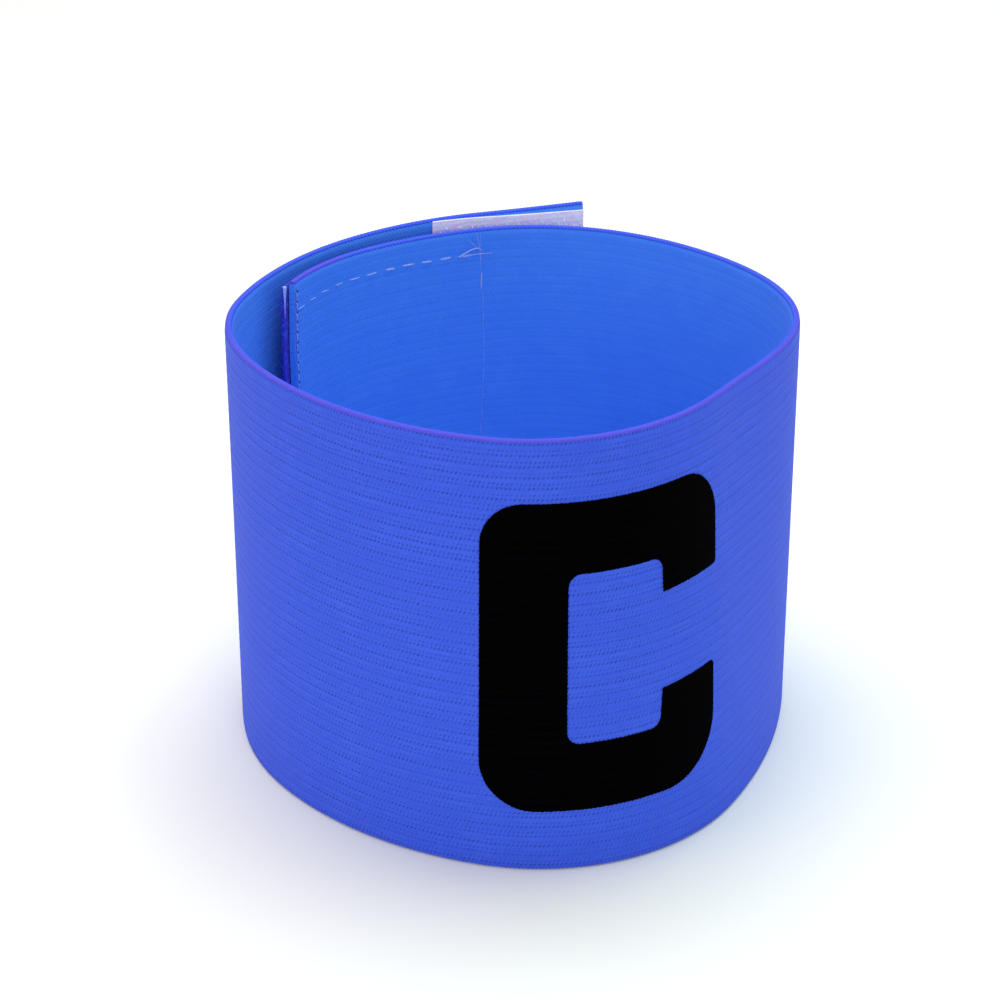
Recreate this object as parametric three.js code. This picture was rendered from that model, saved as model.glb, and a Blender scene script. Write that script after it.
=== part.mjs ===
// Captain armband: one strip of woven elastic that a hook patch and a loop patch close into a ring.
// Millimetres, +Z up. The ring stands on its lower edge and the letter faces -Y.
import * as THREE from "three";

// Elastic strip
const bandLength = 350;
const bandHeight = 70;
const bandThickness = 1.3;

// Fastening: the loop patch is on the outer face of the inner end, the hook patch on the inner face of the flap
const loopLength = 41;
const loopThickness = 1.4;
const hookLength = 28;
const hookThickness = 1;
const patchInset = 0.6;
const patchMargin = 0.8;
const pieceClearance = 0.12;

// Ends of the strip: the tail curls inwards, the laps lie on each other, the flap stands off
const tailLength = 20.5;
const lapLength = 22;
const flapLength = 19.7;
const flapRise = 1.4;
const riseLength = 55;

// How far each end bends: 1 is the mean curvature of the ring
const tailBend = 1.16;
const lapBend = 0.71;
const flapBend = -0.13;

// The ring between the laps, clockwise from above. length is a share of the ring's length, bend is as above,
// and lean is how far the top has moved outwards at the row's end, as a share of the band's height.
const ringStretches = [
  { name: "right back", length: 0.164, bend: 1.09, lean: -0.039 },
  { name: "right side", length: 0.138, bend: 1.055, lean: -0.014 },
  { name: "right front", length: 0.121, bend: 0.505, lean: -0.072 },
  { name: "front", length: 0.171, bend: 1.195, lean: -0.025 },
  { name: "left front", length: 0.145, bend: 0.725, lean: -0.032 },
  { name: "left side", length: 0.133, bend: 1.01, lean: -0.003 },
  { name: "left back", length: 0.128, bend: 0.87, lean: 0 },
];

// Printed letter, a plain block C
const letterWidth = 41.6;
const letterHeight = 50;
const letterThickness = 0.25;
const letterFromEdge = 10.4;
const letterFromInnerEnd = 178.6;
const letterStem = 13;
const letterBar = 11.2;
const upperArmDrop = 16.5;
const lowerArmRise = 17.9;
const lowerArmInset = 1.8;
const innerCorner = 2;
const outerCorners = { upperRight: 8, upperLeft: 6.5, lowerLeft: 8.5, lowerRight: 10.5 };

// Faceting
const stationStep = 2.5;
const cornerSteps = 6;

const fullTurn = 2 * Math.PI;

// Stretches of the strip's centre line
// Each is an arc that turns clockwise. Its end is its length times a step that only its turn sets,
// so the lengths that close the ring on its fastening come from three linear equations.

function arcStep(heading, turn) {
  if (Math.abs(turn) < 1e-9) return new THREE.Vector2(Math.cos(heading), Math.sin(heading));
  const end = heading - turn;
  return new THREE.Vector2(
    (Math.sin(heading) - Math.sin(end)) / turn,
    (Math.cos(end) - Math.cos(heading)) / turn,
  );
}

function sum(values) {
  return values.reduce((total, value) => total + value, 0);
}

// What lies between the centre lines of the two laps
const lapDistance = bandThickness + loopThickness + hookThickness + 3 * pieceClearance;

function stripStretches() {
  const endsLength = tailLength + 2 * lapLength + flapLength;
  const meanRadius = (bandLength - endsLength) / fullTurn;
  const lapTurn = (lapLength * lapBend) / meanRadius;
  const outerLapLength = lapLength + lapDistance * lapTurn;
  const ringLength = bandLength - endsLength - (outerLapLength - lapLength);

  const lengthTotal = sum(ringStretches.map((row) => row.length));
  const lengths = ringStretches.map((row) => (ringLength * row.length) / lengthTotal);
  const bends = ringStretches.map((row, i) => row.bend * lengths[i]);
  const turns = bends.map((bend) => ((fullTurn - lapTurn) * bend) / sum(bends));

  // Steps of the ring's stretches, from the inner lap that starts at the origin with heading 0
  let heading = -lapTurn;
  const steps = turns.map((turn) => {
    const step = arcStep(heading, turn);
    heading -= turn;
    return new THREE.Vector3(step.x, step.y, 1);
  });
  const lapEnd = arcStep(0, lapTurn).multiplyScalar(lapLength);
  const missing = new THREE.Vector3(-lapEnd.x, lapDistance - lapEnd.y, ringLength);
  steps.forEach((step, i) => missing.addScaledVector(step, -lengths[i]));

  // The smallest changes of length that close the ring
  const products = (a, b) => sum(steps.map((step) => step.getComponent(a) * step.getComponent(b)));
  const matrix = new THREE.Matrix3().set(
    products(0, 0), products(0, 1), products(0, 2),
    products(1, 0), products(1, 1), products(1, 2),
    products(2, 0), products(2, 1), products(2, 2),
  );
  const weights = missing.applyMatrix3(matrix.invert());
  const closed = lengths.map((length, i) => length + steps[i].dot(weights));

  const tailTurn = (tailLength * tailBend) / meanRadius;
  const flapTurn = (flapLength * flapBend) / meanRadius;
  return [
    { length: tailLength, turn: tailTurn, lean: 0 },
    { length: lapLength, turn: lapTurn, lean: 0 },
    ...ringStretches.map((row, i) => ({
      length: closed[i],
      turn: turns[i],
      lean: row.lean * bandHeight,
    })),
    { length: outerLapLength, turn: lapTurn, lean: 0 },
    { length: flapLength, turn: flapTurn, lean: 0 },
  ];
}

const stretches = stripStretches();
const stripLength = sum(stretches.map((stretch) => stretch.length));

// The centre line at a distance from the inner end, with the lean of the top there
function centreLine(distance) {
  let x = 0;
  let y = 0;
  let heading = 0;
  let left = distance;
  let lean = 0;
  for (const [i, stretch] of stretches.entries()) {
    const share = i === stretches.length - 1 ? left / stretch.length : Math.min(left / stretch.length, 1);
    const turn = stretch.turn * share;
    const step = arcStep(heading, turn).multiplyScalar(stretch.length * share);
    x += step.x;
    y += step.y;
    heading -= turn;
    if (share < 1 || i === stretches.length - 1) {
      lean = THREE.MathUtils.lerp(lean, stretch.lean, THREE.MathUtils.smoothstep(share, 0, 1));
      break;
    }
    lean = stretch.lean;
    left -= stretch.length;
  }
  return { x, y, heading, lean };
}

// The flap is fastened a little higher than the rest
function riseAt(distance) {
  const start = stripLength - flapLength - riseLength;
  return flapRise * THREE.MathUtils.smoothstep(distance, start, start + riseLength);
}

// Lays a flat geometry on the strip: x runs along it from the inner end, y outwards, z up
function layOnStrip(geometry) {
  const position = geometry.getAttribute("position");
  for (let i = 0; i < position.count; i += 1) {
    const height = position.getZ(i);
    const at = centreLine(position.getX(i));
    const out = position.getY(i) + (at.lean * height) / bandHeight;
    position.setXYZ(
      i,
      at.x - Math.sin(at.heading) * out,
      at.y + Math.cos(at.heading) * out,
      height + riseAt(position.getX(i)),
    );
  }
  return geometry;
}

// A flat rectangular blank with its stations along x
function blank({ start, length, inner, thickness, bottom, height }) {
  const stations = Math.round(length / stationStep);
  const geometry = new THREE.BoxGeometry(length, thickness, height, stations, 1, 1);
  return geometry.translate(start + length / 2, inner + thickness / 2, bottom + height / 2);
}

function elasticBand() {
  return blank({
    start: 0,
    length: stripLength,
    inner: -bandThickness / 2,
    thickness: bandThickness,
    bottom: 0,
    height: bandHeight,
  });
}

function loopPatch() {
  return blank({
    start: patchInset,
    length: loopLength,
    inner: bandThickness / 2 + pieceClearance,
    thickness: loopThickness,
    bottom: patchMargin,
    height: bandHeight - 2 * patchMargin,
  });
}

function hookPatch() {
  return blank({
    start: stripLength - patchInset - hookLength,
    length: hookLength,
    inner: -bandThickness / 2 - pieceClearance - hookThickness,
    thickness: hookThickness,
    bottom: patchMargin,
    height: bandHeight - 2 * patchMargin,
  });
}

// Letter
// Its stroke is a ribbon from the upper arm's end round to the lower arm's end. Each station pairs a point
// of the outer outline with one of the inner outline, both from the letter's lower left corner.

function cornerStations(centre, outerRadius, innerCentre, from) {
  return Array.from({ length: cornerSteps + 1 }, (_, i) => {
    const angle = from + ((Math.PI / 2) * i) / cornerSteps;
    const arm = new THREE.Vector2(Math.cos(angle), Math.sin(angle));
    return {
      outer: centre.clone().addScaledVector(arm, outerRadius),
      inner: innerCentre.clone().addScaledVector(arm, innerCorner),
    };
  });
}

function letterCorners() {
  const { upperRight, upperLeft, lowerLeft, lowerRight } = outerCorners;
  const point = (x, y) => new THREE.Vector2(x, y);
  const innerLeft = letterStem + innerCorner;
  const innerRight = letterWidth - letterStem - innerCorner;
  const lowerWide = letterWidth - lowerArmInset;
  const innerTop = letterHeight - letterBar - innerCorner;
  const innerBottom = letterBar + innerCorner;
  const high = letterHeight;
  const wide = letterWidth;
  return [
    cornerStations(point(wide - upperRight, high - upperRight), upperRight, point(innerRight, innerTop), 0),
    cornerStations(point(upperLeft, high - upperLeft), upperLeft, point(innerLeft, innerTop), Math.PI / 2),
    cornerStations(point(lowerLeft, lowerLeft), lowerLeft, point(innerLeft, innerBottom), Math.PI),
    cornerStations(point(lowerWide - lowerRight, lowerRight), lowerRight, point(innerRight, innerBottom), -Math.PI / 2),
  ];
}

// Adds stations between two, no further apart than the step
function straightStations(from, to) {
  const count = Math.ceil(Math.max(from.outer.distanceTo(to.outer), from.inner.distanceTo(to.inner)) / stationStep);
  return Array.from({ length: count - 1 }, (_, i) => ({
    outer: from.outer.clone().lerp(to.outer, (i + 1) / count),
    inner: from.inner.clone().lerp(to.inner, (i + 1) / count),
  }));
}

function letterStations() {
  const armEnd = (outerSide, height) => ({
    outer: new THREE.Vector2(outerSide, height),
    inner: new THREE.Vector2(letterWidth - letterStem, height),
  });
  const upperEnd = armEnd(letterWidth, letterHeight - upperArmDrop);
  const lowerEnd = armEnd(letterWidth - lowerArmInset, lowerArmRise);
  const runs = [[upperEnd], ...letterCorners(), [lowerEnd]];
  return runs.flatMap((run, i) => {
    const next = runs[i + 1];
    return next ? [...run, ...straightStations(run.at(-1), next[0])] : run;
  });
}

function printedLetter() {
  const stations = letterStations();
  const across = Math.ceil(letterStem / stationStep);
  const geometry = new THREE.BoxGeometry(1, letterThickness, 1, stations.length - 1, 1, across);
  const position = geometry.getAttribute("position");
  const seat = bandThickness / 2 + pieceClearance + letterThickness / 2;
  const rightEdge = letterFromInnerEnd - letterWidth / 2;
  for (let i = 0; i < position.count; i += 1) {
    const station = stations[Math.round((position.getX(i) + 0.5) * (stations.length - 1))];
    const spot = station.inner.clone().lerp(station.outer, position.getZ(i) + 0.5);
    position.setXYZ(i, rightEdge + letterWidth - spot.x, position.getY(i) + seat, letterFromEdge + spot.y);
  }
  return geometry;
}

// Materials
const elastic = new THREE.MeshStandardMaterial({ color: 0x3f5fe0, roughness: 0.85, metalness: 0 });
const hookTape = new THREE.MeshStandardMaterial({ color: 0xb4b8f4, roughness: 0.6, metalness: 0 });
const loopTape = new THREE.MeshStandardMaterial({ color: 0x9fa6f0, roughness: 0.95, metalness: 0 });
const letterInk = new THREE.MeshStandardMaterial({ color: 0x060608, roughness: 0.9, metalness: 0 });

// Assembly
const armband = new THREE.Group();
const pieces = [
  { name: "elastic_band", geometry: elasticBand(), material: elastic },
  { name: "loop_patch", geometry: loopPatch(), material: loopTape },
  { name: "hook_patch", geometry: hookPatch(), material: hookTape },
  { name: "letter_c", geometry: printedLetter(), material: letterInk },
];
for (const { name, geometry, material } of pieces) {
  const mesh = new THREE.Mesh(layOnStrip(geometry), material);
  mesh.name = name;
  armband.add(mesh);
}

// Turned so that the middle of the letter faces -Y, and moved so that the box's middle is over the origin
const frontTurn = Math.PI - centreLine(letterFromInnerEnd).heading;
for (const mesh of armband.children) mesh.geometry.rotateZ(frontTurn);
const middle = new THREE.Box3().setFromObject(armband).getCenter(new THREE.Vector3());
for (const mesh of armband.children) mesh.geometry.translate(-middle.x, -middle.y, 0);

export default armband;
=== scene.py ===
import math
import random

import bpy
import numpy as np
from mathutils import Matrix, Vector


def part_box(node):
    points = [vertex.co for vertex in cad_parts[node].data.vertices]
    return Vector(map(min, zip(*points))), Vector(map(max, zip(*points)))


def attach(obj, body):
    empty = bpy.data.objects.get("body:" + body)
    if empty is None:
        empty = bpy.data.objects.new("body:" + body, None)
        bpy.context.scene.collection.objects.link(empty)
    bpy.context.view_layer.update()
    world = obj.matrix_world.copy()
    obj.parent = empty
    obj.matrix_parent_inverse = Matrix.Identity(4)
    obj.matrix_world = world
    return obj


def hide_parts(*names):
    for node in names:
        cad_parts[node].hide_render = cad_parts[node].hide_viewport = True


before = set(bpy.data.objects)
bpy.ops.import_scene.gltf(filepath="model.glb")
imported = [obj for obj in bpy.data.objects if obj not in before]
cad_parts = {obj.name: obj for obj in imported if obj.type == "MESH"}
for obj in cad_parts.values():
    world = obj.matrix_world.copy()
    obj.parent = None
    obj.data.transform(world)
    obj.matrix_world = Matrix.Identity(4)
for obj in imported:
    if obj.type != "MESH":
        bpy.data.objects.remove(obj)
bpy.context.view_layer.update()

# A captain armband: one strip of woven elastic that stands as a ring, closed by a loop tape and a hook tape.
# Every piece is modelled flat, x along the strip from its inner end, y outwards and z up, and then bent on the
# strip's path. The numbers in the dictionaries are millimetres unless a note says otherwise.

mm = 0.001


# Camera

view = {
    "place": (-106.55, -298.73, 193.44),
    "down": 26.027,  # degrees below level
    "turn": -19.014,  # degrees from +y
    "lens": 78.4,
}


def placeCamera():
    data = bpy.data.cameras.new("photoCamera")
    data.lens = view["lens"]
    data.sensor_width = 36
    data.clip_start = 0.01
    camera = bpy.data.objects.new("photoCamera", data)
    bpy.context.scene.collection.objects.link(camera)
    camera.location = Vector(view["place"]) * mm
    camera.rotation_euler = (math.radians(90 - view["down"]), 0, math.radians(view["turn"]))
    bpy.context.scene.camera = camera


placeCamera()
print("camera placed")


# Small helpers for modelling by hand

def pickOnly(piece):
    bpy.ops.object.select_all(action="DESELECT")
    piece.select_set(True)
    bpy.context.view_layer.objects.active = piece


def settle(piece):
    pickOnly(piece)
    bpy.ops.object.transform_apply(location=True, rotation=True, scale=True)


def finishModifiers(piece):
    pickOnly(piece)
    for modifier in list(piece.modifiers):
        bpy.ops.object.modifier_apply(modifier=modifier.name)


def selectWhere(piece, test):
    # leaves the piece in edit mode with the vertices that pass the test selected
    pickOnly(piece)
    bpy.ops.object.mode_set(mode="EDIT")
    bpy.ops.mesh.select_mode(type="VERT")
    bpy.ops.mesh.select_all(action="DESELECT")
    bpy.ops.object.mode_set(mode="OBJECT")
    for vertex in piece.data.vertices:
        vertex.select = test(vertex.co)
    bpy.ops.object.mode_set(mode="EDIT")


def moveWhere(piece, test, move):
    selectWhere(piece, test)
    bpy.ops.transform.translate(value=Vector(move) * mm)
    bpy.ops.object.mode_set(mode="OBJECT")


def tidyNormals(piece):
    pickOnly(piece)
    bpy.ops.object.mode_set(mode="EDIT")
    bpy.ops.mesh.select_all(action="SELECT")
    bpy.ops.mesh.remove_doubles(threshold=1e-6)
    bpy.ops.mesh.normals_make_consistent(inside=False)
    bpy.ops.object.mode_set(mode="OBJECT")


def addFlatGrid(name, start, length, low, height, out, stations, rows):
    bpy.ops.object.select_all(action="DESELECT")
    middle = Vector((start + length / 2, out, low + height / 2)) * mm
    bpy.ops.mesh.primitive_grid_add(
        x_subdivisions=stations, y_subdivisions=rows, size=1, location=middle, rotation=(math.pi / 2, 0, 0)
    )
    piece = bpy.context.object
    piece.name = name
    piece.scale = (length * mm, height * mm, 1)
    settle(piece)
    return piece


def joinPieces(name, pieces):
    bpy.ops.object.select_all(action="DESELECT")
    for piece in pieces:
        piece.select_set(True)
    bpy.context.view_layer.objects.active = pieces[0]
    bpy.ops.object.join()
    pieces[0].name = name
    return pieces[0]


def stampCopies(name, pattern, places):
    # one mesh that holds a copy of the pattern at each place: (shift in mm, matrix)
    source = pattern.data
    count = len(source.vertices)
    rest = np.empty(count * 3)
    source.vertices.foreach_get("co", rest)
    rest = rest.reshape(-1, 3)
    faces = [tuple(polygon.vertices) for polygon in source.polygons]
    points, polygons = [], []
    for i, (shift, turn) in enumerate(places):
        points.append(rest @ np.array(turn).T + np.array(shift) * mm)
        polygons += [tuple(v + i * count for v in face) for face in faces]
    mesh = bpy.data.meshes.new(name)
    mesh.from_pydata(np.concatenate(points).tolist(), [], polygons)
    mesh.update()
    piece = bpy.data.objects.new(name, mesh)
    bpy.context.scene.collection.objects.link(piece)
    bpy.data.objects.remove(pattern)
    return piece


def mapCloth(piece):
    # the cloth's own map, in metres along and up it, taken before it is bent
    mesh = piece.data
    while mesh.uv_layers:
        mesh.uv_layers.remove(mesh.uv_layers[0])
    layer = mesh.uv_layers.new(name="clothMap")
    places = np.empty(len(mesh.vertices) * 3)
    mesh.vertices.foreach_get("co", places)
    places = places.reshape(-1, 3)
    corners = np.empty(len(mesh.loops), dtype=np.int32)
    mesh.loops.foreach_get("vertex_index", corners)
    normals = np.empty(len(mesh.polygons) * 3)
    mesh.polygons.foreach_get("normal", normals)
    sizes = np.empty(len(mesh.polygons), dtype=np.int32)
    mesh.polygons.foreach_get("loop_total", sizes)
    facing = np.abs(np.repeat(normals.reshape(-1, 3), sizes, axis=0))
    at = places[corners]
    # on a rim the map goes on round the edge
    along = at[:, 0] + at[:, 1] * (facing[:, 0] > 0.8)
    up = at[:, 2] + at[:, 1] * (facing[:, 2] > 0.8)
    layer.data.foreach_set("uv", np.stack([along, up], 1).ravel())


# The strip's path

strip = {
    "length": 350,
    "height": 70,
    "thickness": 1.3,
    "lapDistance": 4.06,  # between the centre lines of the two laps
    "tail": 20.5,
    "lap": 22,
    "flap": 19.7,
    "flapRise": 1.4,
    "riseLength": 55,
    "tailBend": 1.16,  # 1 is the mean bend of the ring
    "lapBend": 0.71,
    "flapBend": -0.13,
    "frontAt": 178.6,  # distance from the inner end that faces -y
    "pathStep": 0.5,
}

# share of the ring's length, bend, lean of the top at the end as a share of the height
ringStretches = {
    "right back": (0.164, 1.09, -0.039),
    "right side": (0.138, 1.055, -0.014),
    "right front": (0.121, 0.505, -0.072),
    "front": (0.171, 1.195, -0.025),
    "left front": (0.145, 0.725, -0.032),
    "left side": (0.133, 1.01, -0.003),
    "left back": (0.128, 0.87, 0),
}


def arcStep(heading, turn):
    if abs(turn) < 1e-9:
        return Vector((math.cos(heading), math.sin(heading)))
    end = heading - turn
    return Vector((math.sin(heading) - math.sin(end), math.cos(end) - math.cos(heading))) / turn


def smooth(share):
    share = min(max(share, 0), 1)
    return share * share * (3 - 2 * share)


def closeStretches():
    # the ring's lengths change as little as closes it on its fastening
    endsLength = strip["tail"] + 2 * strip["lap"] + strip["flap"]
    meanRadius = (strip["length"] - endsLength) / math.tau
    lapTurn = strip["lap"] * strip["lapBend"] / meanRadius
    outerLap = strip["lap"] + strip["lapDistance"] * lapTurn
    ringLength = strip["length"] - endsLength - (outerLap - strip["lap"])
    shares = [row[0] for row in ringStretches.values()]
    lengths = [ringLength * share / sum(shares) for share in shares]
    bends = [row[1] * length for row, length in zip(ringStretches.values(), lengths)]
    turns = [(math.tau - lapTurn) * bend / sum(bends) for bend in bends]
    heading = -lapTurn
    steps = []
    for turn in turns:
        step = arcStep(heading, turn)
        steps.append(Vector((step.x, step.y, 1)))
        heading -= turn
    lapEnd = arcStep(0, lapTurn) * strip["lap"]
    missing = Vector((-lapEnd.x, strip["lapDistance"] - lapEnd.y, ringLength))
    for step, length in zip(steps, lengths):
        missing -= step * length
    products = Matrix([[sum(s[a] * s[b] for s in steps) for b in range(3)] for a in range(3)])
    weights = products.inverted() @ missing
    rows = [(strip["tail"], strip["tail"] * strip["tailBend"] / meanRadius, 0), (strip["lap"], lapTurn, 0)]
    for length, turn, step, row in zip(lengths, turns, steps, ringStretches.values()):
        rows.append((length + step.dot(weights), turn, row[2] * strip["height"]))
    rows.append((outerLap, lapTurn, 0))
    rows.append((strip["flap"], strip["flap"] * strip["flapBend"] / meanRadius, 0))
    return rows


stretches = closeStretches()


def centreLine(distance):
    place, heading, left, lean = Vector((0, 0)), 0, distance, 0
    for i, (length, turn, leanEnd) in enumerate(stretches):
        last = i == len(stretches) - 1
        share = left / length if last else min(left / length, 1)
        place += arcStep(heading, turn * share) * length * share
        heading -= turn * share
        if share < 1 or last:
            return place, heading, lean + (leanEnd - lean) * smooth(share)
        lean = leanEnd
        left -= length


def layPath():
    front = math.pi - centreLine(strip["frontAt"])[1]
    spin = Matrix.Rotation(front, 2)
    count = round(strip["length"] / strip["pathStep"])
    points, corners = [], []
    riseStart = strip["length"] - strip["flap"] - strip["riseLength"]
    for i in range(count + 1):
        distance = i * strip["pathStep"]
        place, heading, lean = centreLine(distance)
        outwards = spin @ Vector((-math.sin(heading), math.cos(heading)))
        place = spin @ place
        rise = strip["flapRise"] * smooth((distance - riseStart) / strip["riseLength"])
        points.append((place, rise, lean))
        for face in (-0.5, 0.5):
            for top in (0, 1):
                corners.append(place + outwards * (face * strip["thickness"] + lean * top))
    low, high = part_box("elastic_band")
    middle = Vector((low.x + high.x, low.y + high.y)) / 2
    shift = Vector([(min(c[k] for c in corners) + max(c[k] for c in corners)) / 2 for k in range(2)])
    data = bpy.data.curves.new("armbandPath", "CURVE")
    data.dimensions = "3D"
    data.twist_mode = "Z_UP"
    line = data.splines.new("POLY")
    line.points.add(len(points) - 1)
    for knot, (place, rise, lean) in zip(line.points, points):
        at = (place - shift) * mm + middle
        knot.co = (at.x, at.y, rise * mm, 1)
        knot.tilt = -math.atan(lean / strip["height"])
    path = bpy.data.objects.new("armbandPath", data)
    bpy.context.scene.collection.objects.link(path)
    return path


armbandPath = layPath()
print("path laid,", len(stretches), "stretches")


def bendOnPath(piece):
    mapCloth(piece)
    bend = piece.modifiers.new("bend", "CURVE")
    bend.object = armbandPath
    bend.deform_axis = "POS_X"
    finishModifiers(piece)
    return piece


# Shader helpers

def feed(tree, socket, value):
    if isinstance(value, bpy.types.NodeSocket):
        tree.links.new(value, socket)
    else:
        socket.default_value = value


def calc(tree, operation, *values, clamp=False):
    node = tree.nodes.new("ShaderNodeMath")
    node.operation = operation
    node.use_clamp = clamp
    for socket, value in zip(node.inputs, values):
        feed(tree, socket, value)
    return node.outputs[0]


def fade(tree, value, low, high, bottom=0.0, top=1.0):
    node = tree.nodes.new("ShaderNodeMapRange")
    node.interpolation_type = "SMOOTHSTEP"
    for socket, setting in zip(node.inputs, (value, low, high, bottom, top)):
        feed(tree, socket, setting)
    return node.outputs[0]


def blendColours(tree, share, first, second, way="MIX"):
    node = tree.nodes.new("ShaderNodeMix")
    node.data_type = "RGBA"
    node.blend_type = way
    feed(tree, node.inputs["Factor"], share)
    feed(tree, node.inputs[6], first)
    feed(tree, node.inputs[7], second)
    return node.outputs[2]


def noiseOn(tree, place, scale, detail=2.0, rough=0.5):
    node = tree.nodes.new("ShaderNodeTexNoise")
    feed(tree, node.inputs["Vector"], place)
    node.inputs["Scale"].default_value = scale
    node.inputs["Detail"].default_value = detail
    node.inputs["Roughness"].default_value = rough
    return node.outputs["Fac"]


def stretchPlace(tree, place, scale):
    node = tree.nodes.new("ShaderNodeMapping")
    feed(tree, node.inputs["Vector"], place)
    node.inputs["Scale"].default_value = scale
    return node.outputs[0]


def newGroup(name, inputs, outputs):
    tree = bpy.data.node_groups.new(name, "ShaderNodeTree")
    for label, (kind, value) in inputs.items():
        socket = tree.interface.new_socket(label, in_out="INPUT", socket_type=kind)
        if value is not None:
            socket.default_value = value
    for label, kind in outputs.items():
        tree.interface.new_socket(label, in_out="OUTPUT", socket_type=kind)
    return tree, tree.nodes.new("NodeGroupInput").outputs, tree.nodes.new("NodeGroupOutput").inputs


def useGroup(tree, group, **values):
    node = tree.nodes.new("ShaderNodeGroup")
    node.node_tree = group
    for label, value in values.items():
        feed(tree, node.inputs[label], value)
    return node.outputs


def newFinish(name, **values):
    material = bpy.data.materials.new(name)
    material.use_nodes = True
    tree = material.node_tree
    shader = tree.nodes["Principled BSDF"]
    for label, value in values.items():
        shader.inputs[label.replace("_", " ")].default_value = value
    return material, tree, shader.inputs


def readMap(tree):
    node = tree.nodes.new("ShaderNodeUVMap")
    node.uv_map = "clothMap"
    return node.outputs[0]


def bumpFrom(tree, height, distance, strength=1.0):
    node = tree.nodes.new("ShaderNodeBump")
    node.inputs["Strength"].default_value = strength
    node.inputs["Distance"].default_value = distance * mm
    feed(tree, node.inputs["Height"], height)
    return node.outputs[0]


number, colour, arrow = "NodeSocketFloat", "NodeSocketColor", "NodeSocketVector"


# Weave shared by the elastic, the print on it and the grounds of both tapes

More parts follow.
